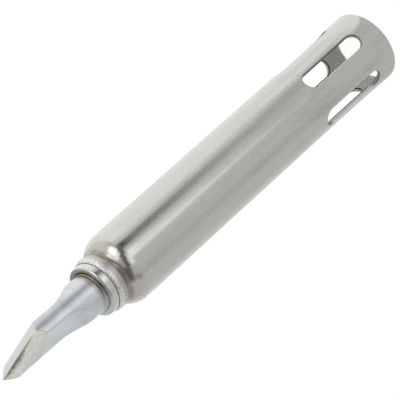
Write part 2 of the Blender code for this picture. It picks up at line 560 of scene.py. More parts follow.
@dataclass
class Metal:
    """One metal material while it is being made."""

    name: str
    groups: Groups
    anisotropy: float = 0.0
    material: Material = field(init=False)
    wire: Wiring = field(init=False)

    def __post_init__(self) -> None:
        """Make the material, with its marks around the Z axis where it has a direction."""
        self.material, self.wire = new_material(self.name)
        if self.anisotropy:
            tangent = self.wire.add("ShaderNodeTangent", direction_type="RADIAL", axis="Z")
            feeds = {"Anisotropic": self.anisotropy, "Anisotropic Rotation": SHINE_TURN, "Tangent": tangent}
            self.dress(feeds)

    def dress(self, feeds: dict[str, Feed]) -> None:
        """Feed inputs of the material's shader.

        Args:
            feeds: What goes into them, by their names.
        """
        shader = self.material.node_tree.nodes["Principled BSDF"]
        for key, value in feeds.items():
            self.wire.feed(shader.inputs[key], value)

    def grain(self, size: float, length: float) -> dict[str, Signal]:
        """Place the grain group with its own values."""
        feeds = {"Size": size, "Length": length}
        return self.wire.signals(self.wire.add("ShaderNodeGroup", feeds, node_tree=self.groups.grain))

    def place(self, side: float = 0.0) -> dict[str, Signal]:
        """Place the group that tells a point's place."""
        node = self.wire.add("ShaderNodeGroup", {"Side": side}, node_tree=self.groups.place)
        return self.wire.signals(node)

    def facing(self, side: float, span: Span, most: float = 1.0, least: float = 0.0) -> Signal:
        """Return a mask that falls over a span of azimuth, from most on a side in degrees."""
        return self.wire.between(abs(self.place(side)["Azimuth"]), *span, most, least)

    def uneven(self, pattern: Signal, middle: float, spread: float) -> Signal:
        """Return a value that a pattern moves up and down by a spread."""
        return self.wire.between(pattern, *PATTERN_SPAN, middle - spread, middle + spread)

    def finish(
        self, colour: Signal, roughness: Signal, relief: Signal, depth: float, metallic: Number = 1.0
    ) -> Material:
        """Join the patterns to the shader.

        Args:
            colour: The base colour.
            roughness: The roughness.
            relief: Pattern that raises the surface.
            depth: Depth of the relief in millimetres.
            metallic: How far the surface is bare metal.

        Returns:
            The material.
        """
        feeds = {"Strength": 1.0, "Distance": depth * MM, "Height": relief}
        bump = self.wire.add("ShaderNodeBump", feeds)
        self.dress({"Base Color": colour, "Roughness": roughness, "Metallic": metallic, "Normal": bump})
        return self.material


# Measures that a form and its finish share

Measure = np.ndarray | Signal


@dataclass(frozen=True)
class TubeEnd:
    """Slots and flare of the tube's rear end."""

    slots: int = 5
    turn: float = -3.9
    width: float = 2.08
    length: float = 9.65
    foot: float = 2.85
    flare_growth: float = 0.12
    flare_length: float = 8.5


@dataclass(frozen=True)
class Blade:
    """Cut end of the bit, with formulas that take arrays as well as signals."""

    reach: float = 2.30
    thickness: float = 2.06
    heel_height: float = 57.70
    edge_angle: float = 46.5
    bevel_angle: float = 53.0
    foot: float = 48.66
    lean: float = 0.0145

    def off_middle(self, y: Measure, z: Measure) -> Measure:
        """Return how far a place lies on the +Y side of the leaning middle plane."""
        return y - (z - self.foot) * self.lean

    def slant(self, x: Measure, wide: Measure, z: Measure) -> Measure:
        """Return how far a place lies in front of the bevels, 0 on them.

        Args:
            x: Place along the flats.
            wide: Distance from the middle plane.
            z: Height.

        Returns:
            The distance in millimetres.
        """
        edge, bevel = math.radians(self.edge_angle), math.radians(self.bevel_angle)
        rise = (x - self.reach) * math.cos(edge) + (z - self.heel_height) * math.sin(edge)
        return rise * math.sin(bevel) + wide * math.cos(bevel)


# Finishes. A span gives the two values between which a soft border runs.


@dataclass(frozen=True)
class SatinSteel:
    """Drawn and buffed steel of the tube, with fine marks, a heat tint, a painted highlight on the neck's
    rounded front and painted shade in its waist.

    The bore, the edges and the reaches part the tones of a slot's wall, from the
    inside to the skin, by their distance from the axis without the flare. These
    tones are painted light and shade: a lightened bore with a painted reflection,
    painted shade lines at the edges, and cut faces painted lit on one side and
    shaded on the other.
    inside to the skin, by their distance from the axis without the flare.
    """

    end: TubeEnd = TubeEnd()
    colour: Colour = (0.608, 0.622, 0.58)
    dull: Colour = (0.545, 0.56, 0.52)
    skin_span: Span = (0.36, 0.64)
    streak: Colour = (0.50, 0.50, 0.45)
    streak_size: float = 1.1
    streak_length: float = 5.0
    streak_span: Span = (0.46, 0.62)
    streak_heights: Span = (12.0, 22.0)
    streak_shares: Span = (0.55, 0.22)
    tint: Colour = (0.59, 0.555, 0.49)
    tint_foot: float = 43.6
    tint_top: float = 45.2
    tint_end: float = 46.6
    tint_left: float = 0.35
    patch_span: Span = (0.35, 0.6)
    patch_least: float = 0.5
    # Painted shade: the neck's waist, between shoulder and bead, is darkened and made rougher.
    groove_shade: Colour = (0.19, 0.175, 0.14)
    groove_height: float = 45.88
    groove_span: Span = (0.12, 0.55)
    groove_shade_strength: float = 0.95
    groove_dullness: float = 0.2
    # Painted highlight: the neck's rounded front gets a near-white colour, broken by darker scratches.
    nose: Colour = (0.95, 0.935, 0.905)
    nose_span: Span = (46.75, 47.0)
    scratch: Colour = (0.61, 0.585, 0.55)
    scratch_size: float = 0.09
    scratch_length: float = 4.0
    scratch_span: Span = (0.4, 0.56)
    scratch_relief: float = 3.0
    # Painted light: the bore is lighter than the skin, and a near-white painted reflection runs along one
    # side of it.
    inside: Colour = (0.74, 0.73, 0.70)
    bore_reflection: Colour = (0.99, 0.98, 0.95)
    bore_reflection_side: float = -131.0
    bore_reflection_span: Span = (0.09, 0.15)
    # Painted light and shade of the slots' cut faces: lit on one long side, shaded on the other and darker at
    # the ends.
    cut: Colour = (0.72, 0.72, 0.70)
    cut_end_shade: Colour = (0.36, 0.36, 0.34)
    cut_shade: Colour = (0.16, 0.16, 0.15)
    cut_metallic: float = 0.3
    cut_dullness: float = 0.2
    end_span: Span = (3.5, 4.1)
    # Painted shade lines at a slot's inner edge and on its rounded rim, and a painted highlight on the rim of
    # the lit side.
    outline: Colour = (0.10, 0.10, 0.09)
    edge_shade: Colour = (0.30, 0.30, 0.28)
    edge_highlight: Colour = (1.0, 1.0, 0.98)
    bore: float = 3.757
    inner_edge: float = 3.86
    outer_edge: float = 4.09
    cut_reach: float = 4.14
    skin_reach: float = 4.235
    roughness: float = 0.25
    roughness_spread: float = 0.04
    spun_roughness: float = 0.17
    spun_span: Span = (42.4, 43.6)
    neck_dullness: float = 0.31
    neck_span: Span = (45.7, 46.2)
    mark_size: float = 0.12
    mark_length: float = 9.0
    mark_depth: float = 0.0014
    grain_size: float = 0.13
    grain_length: float = 1.5
    grain_depth: float = 0.0022
    anisotropy: float = 0.7

    def skin(self, metal: Metal, grain: Signal, height: Signal) -> Signal:
        """Return the colour of the drawn skin, streaked most beside the slots.

        Args:
            metal: The material.
            grain: Fine pattern of the skin.
            height: Height on the tip.

        Returns:
            The colour.
        """
        wire = metal.wire
        skin = wire.blend(wire.between(grain, *self.skin_span), self.dull, self.colour)
        streaks = metal.grain(self.streak_size, self.streak_length)["Grain"]
        share = wire.between(height, *self.streak_heights, *self.streak_shares)
        return wire.blend(wire.between(streaks, *self.streak_span) * share, skin, self.streak)

    def slot_edges(self, metal: Metal, height: Signal) -> tuple[Signal, Signal]:
        """Return the tones of a slot's cut face and of its rounded rim.

        One long side of each slot is painted lit, with a painted highlight on its rounded rim. The other side
        and the ends get painted shade on the cut face and on the rim.
        The azimuth is wrapped once for each slot, so that its sign tells the sides.

        Args:
            metal: The material.
            height: Height on the tip.

        Returns:
            The colours of the cut face and of the rim.
        """
        wire = metal.wire
        ends = wire.between(abs(height - (self.end.foot + self.end.length / 2)), *self.end_span)
        turns = metal.place(self.end.turn)["Azimuth"] * (self.end.slots / 2)
        shaded_side = wire.math("WRAP", turns, 0.5, -0.5) > 0.0
        cut = wire.blend(ends, wire.blend(shaded_side, self.cut, self.cut_shade), self.cut_end_shade)
        rim = wire.blend(wire.math("MAXIMUM", shaded_side, ends), self.edge_highlight, self.edge_shade)
        return cut, rim

    def material(self, groups: Groups) -> Material:
        """Return the tube's material.

        Args:
            groups: The shared shader groups.

        Returns:
            The material.
        """
        metal = Metal("satin_tube_steel", groups, self.anisotropy)
        wire = metal.wire
        grain = metal.grain(self.grain_size, self.grain_length)
        scratches = metal.grain(self.scratch_size, self.scratch_length)["Grain"]
        marks = metal.grain(self.mark_size, self.mark_length)["Grain"]
        place = metal.place()
        height = place["Height"]
        patches = wire.between(grain["Cloud"], *self.patch_span, self.patch_least)
        nose = wire.between(height, *self.nose_span)

        tinted = wire.between(height, self.tint_foot, self.tint_top)
        tinted = tinted * wire.between(height, self.tint_top, self.tint_end, 1.0, self.tint_left) * patches
        # Painted shade in the waist, made patchy by the cloud pattern; the same mask roughens it.
        shaded_groove = wire.between(abs(height - self.groove_height), *self.groove_span, self.groove_shade_strength, 0.0)
        shaded_groove = shaded_groove * patches
        # Painted highlight on the neck's rounded front, with the scratches over it.
        bright = wire.blend(wire.between(scratches, *self.scratch_span), self.scratch, self.nose)
        tone = wire.blend(tinted, self.skin(metal, grain["Grain"], height), self.tint)
        tone = wire.blend(shaded_groove, wire.blend(nose, tone, bright), self.groove_shade)

        rear = height < self.tint_foot
        flare = wire.math("MAXIMUM", 1.0 - height / self.end.flare_length, 0.0)
        reach = place["Reach"] - flare * flare * self.end.flare_growth
        cut, rim = self.slot_edges(metal, height)
        # Painted reflection along one side of the bore.
        bore_reflection_mask = metal.facing(self.bore_reflection_side, self.bore_reflection_span)
        # From the skin inwards: painted highlight or shade on the rim, a painted shade line on the outer
        # round, the cut face's painted light and shade, a painted shade line at the inner edge, then the
        # lightened bore with its painted reflection.
        for limit, colour in (
            (self.skin_reach, rim),
            (self.cut_reach, self.edge_shade),
            (self.outer_edge, cut),
            (self.inner_edge, self.outline),
            (self.bore, wire.blend(bore_reflection_mask, self.inside, self.bore_reflection)),
        ):
            tone = wire.blend((reach < limit) * rear, tone, colour)

        raw = (reach > self.inner_edge) * (reach < self.outer_edge) * rear
        skinned = wire.math("MAXIMUM", reach > self.skin_reach, 1.0 - rear)
        rough = wire.between(height, *self.spun_span, self.roughness, self.spun_roughness)
        rough = rough + wire.between(height, *self.neck_span, 0.0, self.neck_dullness)
        rough = rough + shaded_groove * self.groove_dullness + (1.0 - skinned) * self.cut_dullness
        rough = rough + metal.uneven(grain["Grain"], 0.0, self.roughness_spread)
        relief = grain["Grain"] + marks * (self.mark_depth / self.grain_depth)
        relief = (relief + scratches * nose * self.scratch_relief) * skinned
        return metal.finish(tone, rough, relief, self.grain_depth, 1.0 - raw * (1.0 - self.cut_metallic))


@dataclass(frozen=True)
class BrightSteel:
    """Rolled steel of the lip, brighter and smoother than the tube, with a sooty mouth darkened further by
    painted shade, and painted shade on one side of its dome.
    """

    colour: Colour = (0.67, 0.69, 0.68)
    dull: Colour = (0.58, 0.60, 0.585)
    skin_span: Span = (0.35, 0.65)
    # Sooty darkening and painted shade in the mouth between lip and bit, strongest on one side.
    mouth_soot_and_shade: Colour = (0.12, 0.105, 0.08)
    soot_and_shade_heights: Span = (48.399, 48.375)
    soot_and_shade_side: float = 19.0
    soot_and_shade_span: Span = (0.28, 0.46)
    mouth: float = 2.74
    deep_soot_and_shade: Colour = (0.045, 0.038, 0.03)
    deep_side: float = 27.0
    deep_span: Span = (0.12, 0.3)
    # Painted shade on one side of the lip's rounded dome.
    dome_shade: Colour = (0.30, 0.29, 0.25)
    dome_shade_side: float = 60.0
    dome_shade_span: Span = (0.15, 0.4)
    dome_shade_reaches: Span = (2.84, 3.06)
    dome_shade_share: float = 0.85
    roughness: float = 0.22
    roughness_spread: float = 0.05
    grain_size: float = 0.16
    grain_length: float = 0.4
    grain_depth: float = 0.003

    def material(self, groups: Groups) -> Material:
        """Return the lip sleeve's material.

        Args:
            groups: The shared shader groups.

        Returns:
            The material.
        """
        metal = Metal("bright_lip_steel", groups)
        wire = metal.wire
        grain = metal.grain(self.grain_size, self.grain_length)
        place = metal.place()
        tone = wire.blend(wire.between(grain["Grain"], *self.skin_span), self.dull, self.colour)
        # Painted shade on one side of the lip's rounded dome.
        dome_shade_mask = metal.facing(self.dome_shade_side, self.dome_shade_span, self.dome_shade_share)
        dome_shade_mask = dome_shade_mask * wire.between(place["Reach"], *self.dome_shade_reaches, 1.0, 0.0)
        tone = wire.blend(dome_shade_mask, tone, self.dome_shade)
        # Sooty darkening and painted shade in the mouth, deepest on one side.
        soot_and_shade_mask = wire.between(place["Height"], *self.soot_and_shade_heights) * (place["Reach"] < self.mouth)
        soot_and_shade_mask = soot_and_shade_mask * metal.facing(self.soot_and_shade_side, self.soot_and_shade_span)
        mouth_soot_and_shade = wire.blend(metal.facing(self.deep_side, self.deep_span), self.mouth_soot_and_shade, self.deep_soot_and_shade)
        rough = metal.uneven(grain["Cloud"], self.roughness, self.roughness_spread)
        return metal.finish(wire.blend(soot_and_shade_mask, tone, mouth_soot_and_shade), rough, grain["Grain"], self.grain_depth)


@dataclass(frozen=True)
class CopperRoot:
    """Bare copper at the bit's root, browned by heat, and painted light grey on one side."""

    colour: Colour = (0.68, 0.57, 0.45)
    brown: Colour = (0.20, 0.165, 0.12)
    # Painted light: one side of the root is painted light grey.
    painted_light: Colour = (0.68, 0.68, 0.66)
    painted_light_side: float = -160.0
    painted_light_span: Span = (0.6, 0.78)
    ring_low: Span = (48.40, 48.46)
    ring_high: Span = (48.55, 48.58)
    ring_span: Span = (0.35, 0.65)
    ring_least: float = 0.45
    roughness: float = 0.36
    roughness_spread: float = 0.1
    grain_size: float = 0.2
    grain_depth: float = 0.008

    def material(self, groups: Groups) -> Material:
        """Return the material of the bit's root.

        Args:
            groups: The shared shader groups.

        Returns:
            The material.
        """
        metal = Metal("browned_copper", groups)
        wire = metal.wire
        grain = metal.grain(self.grain_size, 1.0)["Grain"]
        height = metal.place()["Height"]
        ring = wire.between(height, *self.ring_low) * wire.between(height, *self.ring_high, 1.0, 0.0)
        ring = ring * wire.between(grain, *self.ring_span, self.ring_least)
        tone = wire.blend(ring, self.brown, self.colour)
        # Painted light on one side of the root.
        tone = wire.blend(metal.facing(self.painted_light_side, self.painted_light_span), tone, self.painted_light)
        rough = metal.uneven(grain, self.roughness, self.roughness_spread)
        return metal.finish(tone, rough, grain, self.grain_depth)


@dataclass(frozen=True)
class PlatedBar:
    """Satin plating on the bar, a heat stain at its root and a tinned end.

    Painted shade lines run along the fold, where the end's bevels meet the bar's round sides,
    and a painted dark reflection runs along the ridge. The tin's border rises on the flats towards the -X
    side.
    """

    blade: Blade = Blade()
    plating: Colour = (0.70, 0.725, 0.755)
    cloudy: Colour = (0.61, 0.635, 0.64)
    cloud_span: Span = (0.38, 0.62)
    dust: float = 0.6
    dust_span: Span = (0.52, 0.68)
    stain: Colour = (0.42, 0.40, 0.31)
    stain_heights: Span = (48.75, 49.45)
    stain_side: float = 5.0
    stain_span: Span = (0.2, 0.5)
    stain_shares: Span = (0.85, 0.2)
    tin: Colour = (0.50, 0.505, 0.465)
    dull_tin: Colour = (0.435, 0.44, 0.39)
    tin_span: Span = (0.36, 0.64)
    far_tin: Colour = (0.43, 0.43, 0.425)
    far_span: Span = (-0.05, 0.1)
    tin_heights: Span = (56.75, 57.05)
    tin_border: Span = (-0.2, -0.03)
    tin_ragged: float = 0.4
    spine_start: float = -0.6
    spine_rise: float = 2.2
    flat_half: float = 0.96
    # Painted shade along the fold and painted dark reflection below the ridge.
    painted_shade_line: Colour = (0.13, 0.13, 0.115)
    fold_low: Span = (-0.15, -0.09)
    fold_high: Span = (-0.08, -0.04)
    fold_sides: Span = (-0.1, 0.1)
    fold_shares: Span = (0.5, 0.12)
    ridge_strengths: tuple[Point, ...] = (
        (0.05, 0.0), (0.2, 0.65), (0.45, 0.85), (0.62, 1.0), (0.82, 0.9), (0.97, 0.6),
    )
    ridge_widths: tuple[Point, ...] = ((0.1, 0.16), (0.4, 0.26), (0.58, 0.5), (0.8, 0.42), (1.0, 0.2))
    ridge_ragged: Span = (0.6, 1.4)
    ridge_fade: Span = (0.35, 1.15)
    ridge_start: Span = (-0.06, 0.0)
    ridge_foot: float = -0.05
    roughness: float = 0.38
    tin_roughness: float = 0.5
    roughness_spread: float = 0.04
    tin_metallic: float = 0.2
    grain_size: float = 0.14
    solder_size: float = 0.32
    solder_depth: float = 0.025
    bare_relief: float = 0.1

    def ridge(self, along: Signal, across: Signal, slant: Signal, grain: Signal) -> Signal:
        """Return the mask of the painted dark reflection below the ridge, on the -Y bevel.

        Args:
            along: Place along the flats.
            across: Distance from the blade's middle plane.
            slant: Distance in front of the bevels.
            grain: Pattern that makes the line's border uneven.

        Returns:
            The mask.
        """
        wire = grain.wire
        share = (self.blade.reach - along) / (2 * self.blade.reach)
        uneven = wire.between(grain, *PATTERN_SPAN, *self.ridge_ragged)
        depth = -across
        line = depth / (wire.ramp(share, self.ridge_widths) * uneven)
        line = wire.between(line, *self.ridge_fade, 1.0, 0.0) * wire.between(depth, *self.ridge_start)
        return wire.ramp(share, self.ridge_strengths) * line * (slant > self.ridge_foot)

    def material(self, groups: Groups) -> Material:
        """Return the material of the plated bar with its tinned end.

        Args:
            groups: The shared shader groups.

        Returns:
            The material.
        """
        metal = Metal("plated_and_tinned", groups)
        wire = metal.wire
        grain = metal.grain(self.grain_size, 1.0)
        solder = metal.grain(self.solder_size, 1.0)["Grain"]
        place = metal.place()
        height = place["Height"]
        ragged = grain["Cloud"] - 0.5

        tone = wire.blend(wire.between(grain["Cloud"], *self.cloud_span), self.cloudy, self.plating)
        tone = wire.blend(wire.between(solder, *self.dust_span, 0.0, self.dust), tone, self.cloudy)
        stained = wire.between(height - ragged, *self.stain_heights, 1.0, 0.0)
        stained = stained * metal.facing(self.stain_side, self.stain_span, *self.stain_shares)
        tone = wire.blend(stained, tone, self.stain)

        across = self.blade.off_middle(place["Across"], height)
        half = abs(across)
        slant = self.blade.slant(place["Along"], half, height)
        spine = wire.math("MAXIMUM", self.spine_start - place["Along"], 0.0)
        level = height - spine * self.spine_rise + ragged * self.tin_ragged
        on_flat = wire.between(level, *self.tin_heights) * (half > self.flat_half)
        tinned = wire.math("MAXIMUM", on_flat, wire.between(slant, *self.tin_border))
        tin = wire.blend(wire.between(solder, *self.tin_span), self.dull_tin, self.tin)
        tin = wire.blend(wire.between(across, *self.far_span), tin, self.far_tin)
        tone = wire.blend(tinned, tone, tin)
        # Painted shade along the fold, then painted dark reflection below the ridge.
        fold = wire.between(slant, *self.fold_low) * wire.between(slant, *self.fold_high, 1.0, 0.0)
        fold = fold * (half < self.flat_half) * wire.between(across, *self.fold_sides, *self.fold_shares)
        for mask in (fold, self.ridge(place["Along"], across, slant, solder)):
            tone = wire.blend(mask, tone, self.painted_shade_line)

        rough = wire.between(tinned, 0.0, 1.0, self.roughness, self.tin_roughness)
        rough = rough + metal.uneven(grain["Grain"], 0.0, self.roughness_spread)
        relief = solder * (tinned * (1.0 - self.bare_relief) + self.bare_relief)
        metallic = wire.between(tinned, 0.0, 1.0, 1.0, self.tin_metallic)
        return metal.finish(tone, rough, relief, self.solder_depth, metallic)


# The tip's pieces


@dataclass
class OuterTube:
    """Drawn tube with a flared rear end, a ring of slots, a shoulder and a neck.

    Its skin beside each slot is a sheet, first laid out flat as (across, height).
    """

    end: TubeEnd = TubeEnd()
    radius: float = 4.25
    wall: float = 0.50
    slot_round: float = 0.13
    slot_burr: float = 0.20
    sheet_low: float = 1.25
    sheet_high: float = 14.1
    shoulder_start: float = 43.6
    shoulder_radius: float = 2.70
    shoulder_turn: float = 45.0
    inner_start: float = 43.5
    inner_rise: float = 1.9
    waist_radius: float = 3.25
    waist_fillet: float = 0.68
    bead_radius: float = 3.35
    bead_height: float = 46.78
    nose_radius: float = 3.11
    neck_bore: float = 3.05
    neck_foot: float = 46.0
    neck_end: float = 47.40
    rim_round: float = 0.12
    columns: int = 26
    side_rows: int = 46
    straight_rows: int = 24
    bead_rows: int = 9
    bore_rows: int = 8
    rear_rows: int = 5
    shares: tuple[float, ...] = (1.0, 0.82, 0.64, 0.47, 0.32, 0.2, 0.11, 0.05)

    def outer(self, height: float) -> float:
        """Return the outer radius of the straight part and its flare at a height."""
        return self.radius + self.end.flare_growth * max(0.0, 1.0 - height / self.end.flare_length) ** 2

    def front_profile(self) -> list[Point]:
        """Return the profile in front of the slots, up the outside and down the inside.

        Returns:
            Points as (radius, height).
        """
        straight = np.linspace(self.sheet_high, self.shoulder_start, self.straight_rows)
        points = [(self.radius, z) for z in straight[:-1]]
        centre = (self.radius - self.shoulder_radius, self.shoulder_start)
        points += arc(centre, self.shoulder_radius, 0.0, self.shoulder_turn, steps=22)
        slope = math.radians(self.shoulder_turn)
        last = points[-1]
        corner = last[1] + (last[0] - self.waist_radius) / math.tan(slope)
        waist = corner + self.waist_fillet * math.tan(slope / 2)
        middle = (self.waist_radius + self.waist_fillet, waist)
        points += arc(middle, self.waist_fillet, 180.0 + self.shoulder_turn, 180.0, steps=10)
        for share in np.linspace(0.0, 1.0, self.bead_rows)[1:-1]:
            swell = (self.bead_radius - self.waist_radius) * (1 - math.cos(math.pi * share)) / 2
            points.append((self.waist_radius + swell, waist + (self.bead_height - waist) * share))
        middle = (self.nose_radius, self.bead_height)
        rise = self.neck_end - self.bead_height
        points += arc(middle, self.bead_radius - self.nose_radius, 0.0, 90.0, steps=12, rise=rise)
        points += [(self.neck_bore, self.neck_end), (self.neck_bore, self.neck_foot)]
        bore = self.radius - self.wall
        bend = (bore - self.neck_bore) / (1 - math.cos(slope))
        centre = (bore - bend, self.inner_start)
        rise = self.inner_rise / math.sin(slope)
        points += arc(centre, bend, self.shoulder_turn, 0.0, steps=8, rise=rise)
        straight = np.linspace(self.inner_start, self.sheet_high, self.bore_rows)
        return points + [(bore, z) for z in straight[1:]]

    def rear_profile(self) -> list[Point]:
        """Return the profile behind the slots, down the inside and up the outside.

        Returns:
            Points as (radius, height).
        """
        turn = self.rim_round
        heights = np.linspace(self.sheet_low, turn, self.rear_rows)[:-1]
        points = [(self.outer(z) - self.wall, z) for z in heights]
        points += arc((self.outer(0.0) - self.wall + turn, turn), turn, 180.0, 270.0, steps=6)
        points += arc((self.outer(0.0) - turn, turn), turn, 270.0, 360.0, steps=6)
        return points + [(self.outer(z), z) for z in heights[::-1]]

    def across(self) -> np.ndarray:
        """Return the places across a sector, from its right side to its left one."""
        half = math.pi * self.radius / self.end.slots
        return np.linspace(half, -half, self.columns + 1)

    def sheet_border(self) -> np.ndarray:
        """Return the points around a slot's flat sheet.

        Returns:
            One row for each point.
        """
        across = self.across()
        up = np.linspace(self.sheet_low, self.sheet_high, self.side_rows + 1)
        right = [(across[0], z) for z in up[:-1]]
        top = [(u, self.sheet_high) for u in across[:-1]]
        left = [(across[-1], z) for z in up[:0:-1]]
        bottom = [(u, self.sheet_low) for u in across[:0:-1]]
        return np.array(right + top + left + bottom)

    def slot_point(self, border: np.ndarray, grow: float) -> np.ndarray:
        """Return the point of the slot's outline that faces a border point.

        Args:
            border: The border point.
            grow: How far the outline is moved out from the slot's edge.

        Returns:
            The point on the flat sheet.
        """
        half = self.end.width / 2
        level = np.clip(border[1], self.end.foot + half, self.end.foot + self.end.length - half)
        middle = np.array([0.0, level])
        away = border - middle
        return middle + away / np.linalg.norm(away) * (half + grow)

    def rolled(self, flat: np.ndarray, depth: float) -> Place:
        """Return the place in space of a flat sheet's point.

        Args:
            flat: The point on the flat sheet.
            depth: Its depth in the wall.

        Returns:
            The place.
        """
        angle = flat[0] / self.radius
        radius = self.outer(flat[1]) - depth
        return radius * math.cos(angle), radius * math.sin(angle), flat[1]

    def slot_rings(self) -> list[list[Place]]:
        """Return the loops from the outer sheet's border, through the slot, to the inner one's.

        Returns:
            Loops of places, with a point for each border point.
        """
        border = self.sheet_border()

        def sheet(grow: float, depth: float, shares: tuple[float, ...]) -> list[list[Place]]:
            """Return the loops of one sheet, at shares of the way from the slot to the border."""
            loops = [[self.slot_point(b, grow) * (1 - share) + b * share for b in border] for share in shares]
            return [[self.rolled(point, depth) for point in loop] for loop in loops]

        middle = (self.slot_round, self.slot_round)
        outer_round = arc(middle, self.slot_round, -90.0, -180.0, steps=6)
        middle = (self.slot_burr, self.wall - self.slot_burr)
        inner_round = arc(middle, self.slot_burr, 180.0, 90.0, steps=6)
        rings = sheet(self.slot_round, 0.0, self.shares)
        for grow, depth in outer_round + inner_round:
            rings += sheet(grow, depth, (0.0,))
        return rings + sheet(self.slot_burr, self.wall, self.shares[::-1])

    def sector(self) -> Object:
        """Return one sector of the tube with one slot, open at its two sides.

        Returns:
            The sector's object.
        """
        points: list[Place] = []
        faces: list[tuple[int, ...]] = []
        skins = [(self.slot_rings(), True)]
        turns = self.across() / self.radius
        for profile in (self.front_profile(), self.rear_profile()):
            rows = [[(r * math.cos(turn), r * math.sin(turn), z) for turn in turns] for r, z in profile]
            skins.append((rows, False))
        for rows, closed in skins:
            width = len(rows[0])
            for row in range(len(rows) - 1):
                low = len(points) + row * width
                for column in range(width if closed else width - 1):
                    beside = (column + 1) % width
                    faces.append((low + column, low + beside, low + width + beside, low + width + column))
            points.extend(place for row in rows for place in row)
        return mesh_object("tube_shell", np.array(points), faces)

    def build(self, tree: Tree, finish: Material) -> Object:
        """Return the tube: its sector set around the axis and welded.

        Args:
            tree: The tree that sets sectors around the axis.
            finish: Material of the tube.

        Returns:
            The tube's object.
        """
        turn = math.radians(self.end.turn)
        values = {"Count": self.end.slots, "Turn": turn, "Weld": RING_WELD, "Finish": finish}
        return declare(grown(self.sector(), tree, values), "outer_tube")


@dataclass
class LipSleeve:
    """Sleeve between tube and bit, with its flange inside and its rolled lip in front."""

    bore: float = 2.40
    radius: float = 2.75
    flange_radius: float = 3.45
    flange_low: float = 43.3
    flange_high: float = 43.8
    lip_low: float = 47.42
    lip_high: float = 48.40
    lip_radius: float = 3.07
    lip_round: float = 0.06
    dome_foot: float = 48.13
    rim_radius: float = 2.79
    throat_radius: float = 2.46
    throat_height: float = 48.365
    mouth_foot: float = 48.35
    steps: int = 200

    def profile(self) -> list[Point]:
        """Return the sleeve's closed profile.

        Returns:
            Points as (radius, height).
        """
        points = [(self.bore, self.flange_low), (self.flange_radius, self.flange_low)]
        points += [(self.flange_radius, self.flange_high), (self.radius, self.flange_high)]
        points.append((self.radius, self.lip_low))
        middle = (self.lip_radius - self.lip_round, self.lip_low + self.lip_round)
        points += arc(middle, self.lip_round, -90.0, 0.0, steps=8)
        rim = self.rim_radius
        rise = self.lip_high - self.dome_foot
        points += arc((rim, self.dome_foot), self.lip_radius - rim, 0.0, 90.0, steps=14, rise=rise)
        rise = self.lip_high - self.throat_height
        throat = arc((rim, self.throat_height), rim - self.throat_radius, 90.0, 180.0, steps=12, rise=rise)
        points += throat[1:]
        return points + [(self.throat_radius, self.mouth_foot), (self.bore, self.mouth_foot)]

    def build(self, tree: Tree, finish: Material) -> Object:
        """Return the sleeve, turned by the lathe tree and dressed."""
        return declare(turned("rolled_lip", self.profile(), self.steps, tree, finish), "lip_sleeve")


